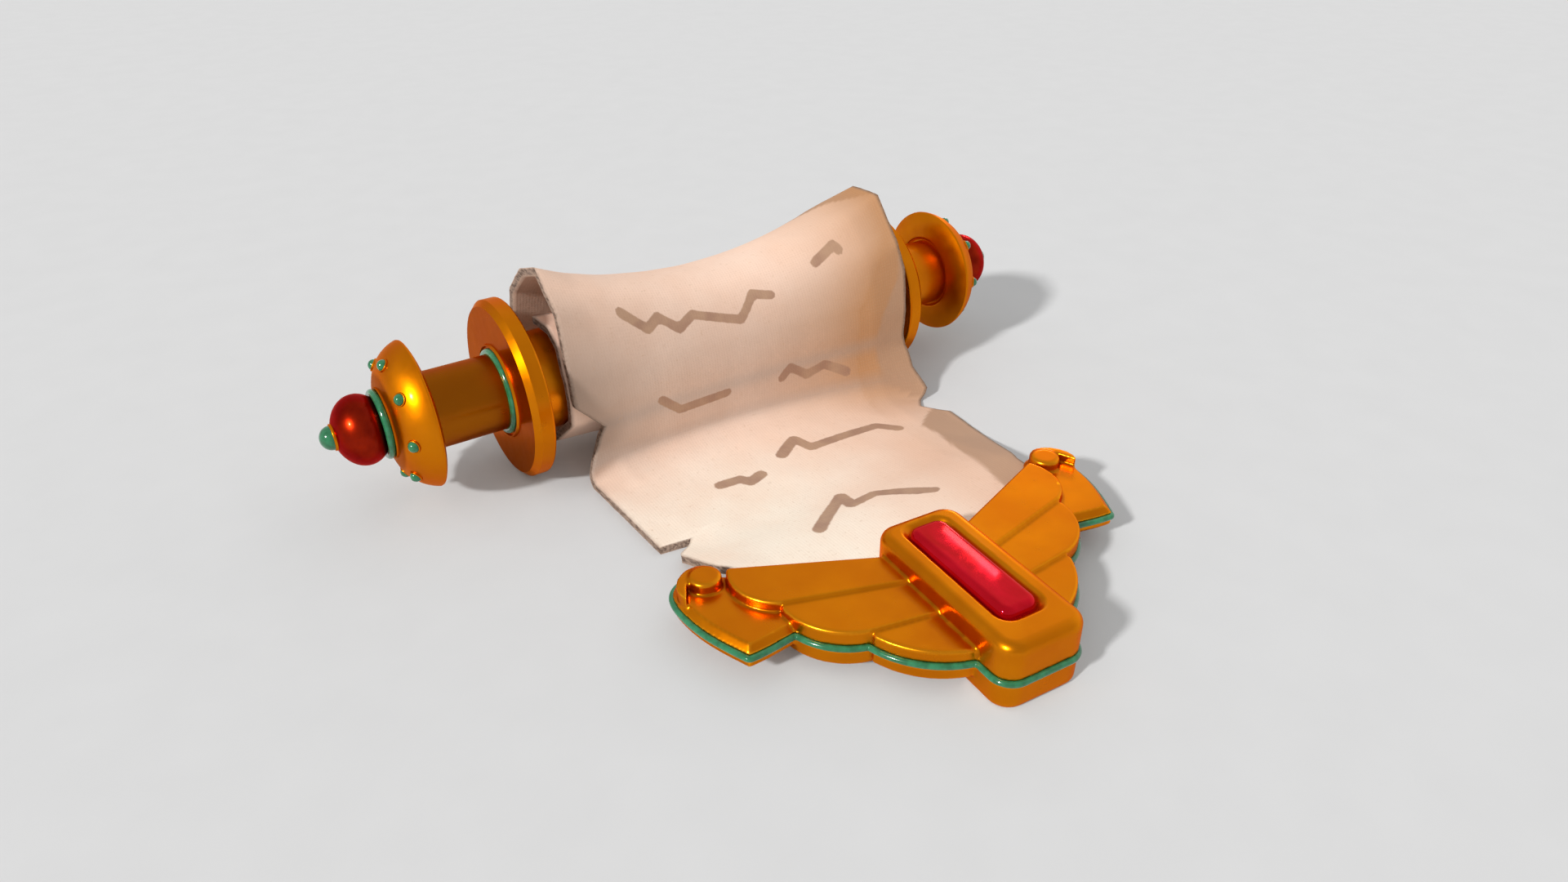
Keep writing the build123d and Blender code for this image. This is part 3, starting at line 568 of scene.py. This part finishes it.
# Pale table, far larger than the view, that keeps the shadow
def table_top():
    material, tree = new_material("pale_table")
    speck = grain(tree, 30, 4, (0.3, 0.7))
    surface(tree, {
        "Base Color": layered(tree, linear("#DADADA"), [(speck, linear("#DCDCDC"))]),
        "Roughness": 0.9,
        "Specular IOR Level": 0.0})
    mesh = bpy.data.meshes.new("table_top")
    far = 30.0
    mesh.from_pydata([(-far, -far, 0), (far, -far, 0), (far, far, 0), (-far, far, 0)], [], [(0, 1, 2, 3)])
    mesh.materials.append(material)
    table = bpy.data.objects.new("table_top", mesh)
    bpy.context.scene.collection.objects.link(table)


# One low soft lamp from the left: its power, its angle in degrees and the way its light travels
SUN_POWER, SUN_ANGLE, SUN_TRAVEL = 2.5, 5, Vector((1.6, 0.35, -1.0))
# Lamps with a glowing face that only show in polished surfaces: a long one low behind the right end for the
# rounded edges, and a strip that draws the streak on the gem. Each has its place, the point that it faces,
# the direction of its long side, its size and its power.
SOFTBOXES = {
    "softbox": (Vector((1.0, 0.74, 0.38)), Vector((0, 0, 0)), Vector((-0.6, 0.8, 0)), (0.22, 0.10), 1.0),
    "strip": (Vector((0.5205, 0.396, 0.5695)), Vector((-0.002, -0.1, 0.033)), Vector((14, -81, 25)),
              (0.086, 0.008), 0.02)}
# The studio sky is dim in front and bright towards the right and back, and dark below the horizon
BRIGHT_SIDE = (0.95, 0.3, -0.1)
SKY_DIM, SKY_BRIGHT, BELOW_HORIZON = 0.52, 1.02, 0.45

# Camera at the photograph's viewing angle, placed from the roller axis, with its angles in degrees
CAMERA_LENS, SENSOR_WIDTH = 24.444, 36.0
CAMERA_X, CAMERA_BEFORE_AXIS, CAMERA_HEIGHT = -0.2593, 0.4605, 0.2969
CAMERA_DOWN, CAMERA_RIGHT = 31.36, 34.02


def softbox(name, place, aim, along, size, power):
    lamp = bpy.data.lights.new(name, "AREA")
    lamp.shape = "RECTANGLE"
    lamp.size, lamp.size_y = size
    lamp.energy = power
    holder = bpy.data.objects.new(name, lamp)
    bpy.context.scene.collection.objects.link(holder)
    holder.visible_diffuse = False
    back = (place - aim).normalized()
    side = (along - back * along.dot(back)).normalized()
    holder.location = place
    holder.rotation_euler = Matrix((side, back.cross(side), back)).transposed().to_euler()


def sun():
    lamp = bpy.data.lights.new("window", "SUN")
    lamp.energy = SUN_POWER
    lamp.angle = radians(SUN_ANGLE)
    holder = bpy.data.objects.new("window", lamp)
    bpy.context.scene.collection.objects.link(holder)
    holder.rotation_euler = SUN_TRAVEL.to_track_quat("-Z", "Y").to_euler()


def studio_sky():
    world = bpy.data.worlds.new("studio")
    bpy.context.scene.world = world
    world.use_nodes = True
    tree = world.node_tree
    tree.nodes.clear()
    direction = add(tree, "TexCoord", {}, "Generated")
    height = add(tree, "SeparateXYZ", {0: direction}, "Z")
    toward = add(tree, "VectorMath", {0: direction, 1: BRIGHT_SIDE}, "Value", operation="DOT_PRODUCT")
    sky = add(tree, "MapRange", {"Value": toward, "From Min": 0.1, "From Max": 0.95, "To Min": SKY_DIM,
                                 "To Max": SKY_BRIGHT})
    level = add(tree, "MapRange", {"Value": height, "From Min": -0.04, "From Max": 0.0,
                                   "To Min": BELOW_HORIZON, "To Max": sky})
    shade = add(tree, "Background", {"Color": linear("#FFFFFF"), "Strength": level})
    add(tree, "OutputWorld", {"Surface": shade})


def camera():
    data = bpy.data.cameras.new("camera")
    data.lens = CAMERA_LENS
    data.sensor_width = SENSOR_WIDTH
    holder = bpy.data.objects.new("camera", data)
    bpy.context.scene.collection.objects.link(holder)
    holder.location = (CAMERA_X, AXIS_Y * MM - CAMERA_BEFORE_AXIS, CAMERA_HEIGHT)
    holder.rotation_euler = (radians(90 - CAMERA_DOWN), 0, radians(-CAMERA_RIGHT))
    bpy.context.scene.camera = holder


paper = worn_paper()
finish_nodes({"paper": paper, "gilt_brass": gilt_brass("gilt_brass"), "green_enamel": green_enamel(),
              "red_lacquer": red_lacquer(), "gem_glass": gem_glass(), "steel": steel()})
sheet_piece = show("scroll_sheet", paper_sheet(), "sheet", "paper_sheet", paper)
cast_gilding = gilt_brass("gilt_brass_cast", cast=True)
for shell in ("clasp_upper_shell", "clasp_lower_shell"):
    cast = show(shell + "_cast", softened(shell), "sheet", shell, cast_gilding)
table_top()
sun()
for lamp_name, lamp_values in SOFTBOXES.items():
    softbox(lamp_name, *lamp_values)
studio_sky()
camera()
bpy.context.scene.view_settings.view_transform = "Standard"
